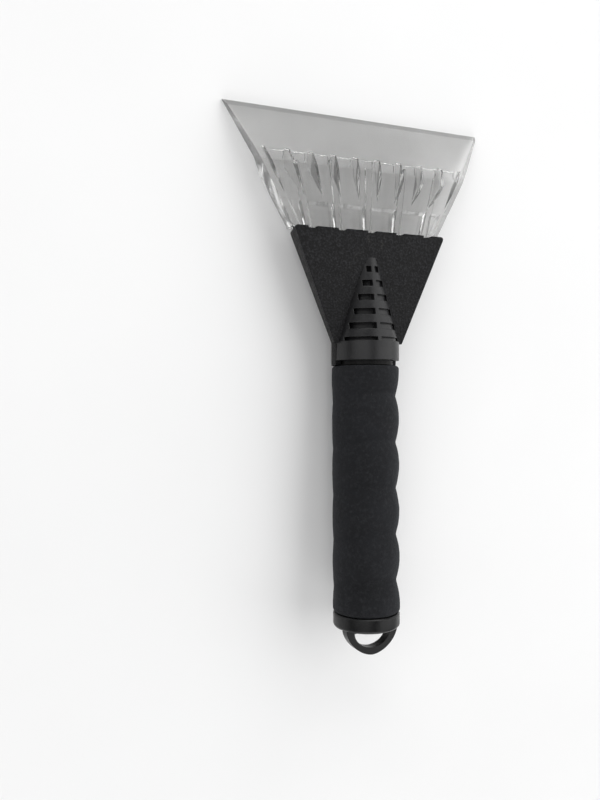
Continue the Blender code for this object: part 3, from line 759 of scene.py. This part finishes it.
def build_foam():
    rings, segments, edge = 270, 168, 1.4
    profile = [(FOAM_IN_R, FOAM_L)]
    profile += [(FOAM_R - edge + edge * math.sin(a), FOAM_L - edge + edge * math.cos(a))
                for a in [math.pi / 2 * i / 6 for i in range(6)]]
    profile += [(FOAM_R, lerp(FOAM_L - edge, edge, i / rings)) for i in range(rings + 1)]
    profile += [(FOAM_R - edge + edge * math.cos(a), edge - edge * math.sin(a))
                for a in [math.pi / 2 * i / 6 for i in range(1, 7)]]
    profile += [(FOAM_IN_R, 0.0)]
    bm = turned(profile, segments)
    for v in bm.verts:
        r = math.hypot(v.co.x, v.co.y)
        if r < FOAM_R - edge - 0.01:
            continue
        facing = (1.0 - v.co.y / r) / 2.0
        depth = GROOVE_DEPTH * facing ** GROOVE_SPREAD * groove(v.co.z + GROOVE_SLANT * v.co.y)
        p = v.co
        soft = 0.10 * (noise.noise(p * 0.16) + 0.5 * noise.noise(p * 0.45)) + 0.06
        grain = 0.020 * (noise.noise(p * 2.3) + 0.6 * noise.noise(p * 4.9))
        depth += max(soft, 0.0) + grain + 0.03
        depth = max(depth, 0.0)
        v.co.x *= (r - depth) / r
        v.co.y *= (r - depth) / r
    return obj("foam_sleeve", bm)


foam = place(build_foam(), "foam_grip", FOAM, 60)


# ---------------------------------------------------------------------------
# end cap with its hanging loop
# ---------------------------------------------------------------------------
def arch(half_w, z_top, z_bottom, power, steps):
    pts = []
    for i in range(steps + 1):
        a = math.pi * i / steps
        c, s = math.cos(a), math.sin(a)
        pts.append((half_w * math.copysign(abs(c) ** (2.0 / power), c),
                    z_top + (z_bottom - z_top) * abs(s) ** (2.0 / power)))
    return pts


def plate_from(outline, half_t):
    bm = bmesh.new()
    face = bm.faces.new([bm.verts.new((x, LOOP_Y - half_t, z)) for x, z in outline])
    out = bmesh.ops.extrude_face_region(bm, geom=[face])
    for g in out["geom"]:
        if isinstance(g, bmesh.types.BMVert):
            g.co.y = LOOP_Y + half_t
    return bm


def build_cap():
    ob = obj("end_cap_body", turned([
        (0.0, -GAP), (CAP_R - 0.5, -GAP), (CAP_R, -GAP - 0.5), (CAP_R, CAP_Z + 1.6),
        (CAP_R - 0.22, CAP_Z + 0.95), (CAP_R - 0.7, CAP_Z + 0.4), (CAP_R - 1.6, CAP_Z),
        (0.0, CAP_Z)], 144))
    loop = plate_from([(LOOP_HALF_W, CAP_Z + 3.0)]
                      + arch(LOOP_HALF_W, CAP_Z + 0.2, LOOP_Z, 1.75, 64)
                      + [(-LOOP_HALF_W, CAP_Z + 3.0)], LOOP_T / 2)
    join(ob, loop)
    cut(ob, plate_from(arch(HOLE_HALF_W, HOLE_TOP_Z, HOLE_BOTTOM_Z, 1.9, 48), 8.0))
    settle(ob)
    soften(ob, 0.75, 4, 50)
    return ob


cap = place(build_cap(), "end_cap", CAP, 35)


# ---------------------------------------------------------------------------
# screws
# ---------------------------------------------------------------------------
def build_screw(name, x, z, y_seat, y_tip):
    length = y_seat - y_tip
    head = [(0.0, SCREW_HEAD_T)]
    head += [(SCREW_HEAD_R * math.sin(a) ** 0.8, 0.45 + (SCREW_HEAD_T - 0.45) * math.cos(a))
             for a in [math.pi / 2 * i / 8 for i in range(1, 9)]]
    head += [(SCREW_HEAD_R, 0.0), (SCREW_R * 0.85, 0.0)]
    zz = -0.4
    while zz > 1.2 - length:
        head += [(SCREW_R * 0.82, zz), (SCREW_R, zz - 0.25), (SCREW_R * 0.82, zz - 0.5)]
        zz -= 0.62
    head += [(SCREW_R * 0.6, 0.6 - length), (0.0, -length)]
    ob = obj(name, turned(head, 40))
    for j in range(2):
        w, d = (1.45, 0.28)
        cutter = block(-w if not j else -d, w if not j else d, -d if not j else -w,
                       d if not j else w, 0.75, 4.0)
        for v in cutter.verts:
            if v.co.z < 1.0:
                v.co.x *= 0.55 if abs(v.co.x) > 0.5 else 0.8
                v.co.y *= 0.55 if abs(v.co.y) > 0.5 else 0.8
        cut(ob, cutter)
    settle(ob)
    ob.data.transform(Matrix.Translation((x, y_seat, z)) @ Matrix.Rotation(-math.pi / 2, 4, 'X'))
    return ob


_seat = rear_y(SIDE_SCREW_Z) - SCREW_HEAD_T + GAP
_low = spine_radii(LOW_SCREW_Z)[1]
for node, x, z, seat, tip in (
        ("head_screw_left", -SIDE_SCREW_X, SIDE_SCREW_Z, _seat, front_y(SIDE_SCREW_Z) + 2.2),
        ("head_screw_right", SIDE_SCREW_X, SIDE_SCREW_Z, _seat, front_y(SIDE_SCREW_Z) + 2.2),
        ("head_screw_lower", 0.0, LOW_SCREW_Z, _low - 2.4 + GAP, -SPIGOT_R + 0.6)):
    place(build_screw(node + "_body", x, z, seat, tip), node, STEEL, 35)

# the core's own solid has the right shape; only its finish changes
core = frame["nodes"]["handle_core"]
for slot_ in core.material_slots:
    slot_.material = CORE
if not core.material_slots:
    core.data.materials.append(CORE)

# ---------------------------------------------------------------------------
# floor, light, camera
# ---------------------------------------------------------------------------
bm = bmesh.new()
bmesh.ops.create_grid(bm, x_segments=1, y_segments=1, size=2.5)
floor = obj("floor", bm)
fm = Mat("floor_paper")
fm.set(Roughness=0.9, IOR=1.3)
fcol = fm.ramp(fm.noise(9.0, 3.0, 0.5), [(0.3, (0.86, 0.86, 0.86)), (0.7, (0.88, 0.88, 0.88))])
floor.data.materials.append(fm.out(fcol))
floor.location = (0, 0, -0.0002)


def area(name, where, target, size, power, colour=(1, 1, 1)):
    data = bpy.data.lights.new(name, 'AREA')
    data.shape = 'RECTANGLE'
    data.size, data.size_y = size
    data.energy = power
    data.color = colour
    ob = bpy.data.objects.new(name, data)
    SCENE.collection.objects.link(ob)
    ob.location = where
    ob.rotation_euler = (Vector(target) - Vector(where)).to_track_quat('-Z', 'Y').to_euler()
    return ob


area("key_right", (1.15, 0.25, 1.05), (0, 0.0, 0), (2.0, 2.2), 21.0)
area("fill_left", (-0.95, 0.15, 1.20), (0, 0.0, 0), (1.4, 1.8), 8.8)
area("top_far", (0.10, 1.50, 0.70), (0, 0.0, 0), (2.0, 1.0), 16.0)
area("near_low", (0.0, -1.50, 0.70), (0, 0.0, 0), (2.0, 1.0), 13.8)

world = bpy.data.worlds.new("studio")
world.use_nodes = True
wt = world.node_tree
dim = wt.nodes["Background"]
dim.inputs[0].default_value = (1.0, 1.0, 1.0, 1.0)
dim.inputs[1].default_value = 0.18
pale = wt.nodes.new("ShaderNodeBackground")
pale.inputs[0].default_value = (1.0, 1.0, 1.0, 1.0)
pale.inputs[1].default_value = 0.85
path = wt.nodes.new("ShaderNodeLightPath")
both = wt.nodes.new("ShaderNodeMixShader")
wt.links.new(path.outputs["Is Camera Ray"], both.inputs[0])
wt.links.new(dim.outputs[0], both.inputs[1])
wt.links.new(pale.outputs[0], both.inputs[2])
wt.links.new(both.outputs[0], wt.nodes["World Output"].inputs[0])
SCENE.world = world

cam_data = bpy.data.cameras.new("camera")
cam_data.lens = 34.776
cam_data.sensor_width = 36.0
cam_data.clip_start = 0.01
cam_data.clip_end = 20.0
cam = bpy.data.objects.new("camera", cam_data)
SCENE.collection.objects.link(cam)
yaw, pitch, roll = (math.radians(v) for v in (22.74, 0.03, -0.27))
fwd = Vector((math.sin(yaw), math.cos(yaw), 0))
rgt = Vector((math.cos(yaw), -math.sin(yaw), 0))
upv = Vector((0, 0, 1))
f2 = fwd * math.cos(pitch) + upv * math.sin(pitch)
u2 = upv * math.cos(pitch) - fwd * math.sin(pitch)
r3 = rgt * math.cos(roll) + u2 * math.sin(roll)
u3 = u2 * math.cos(roll) - rgt * math.sin(roll)
rot = Matrix.Rotation(ANGLE, 3, 'X')
basis = Matrix((rot @ r3, rot @ u3, rot @ (-f2))).transposed().to_4x4()
basis.translation = LAY @ Vector((-152.4, -291.9, 89.1))
cam.matrix_world = basis
SCENE.camera = cam
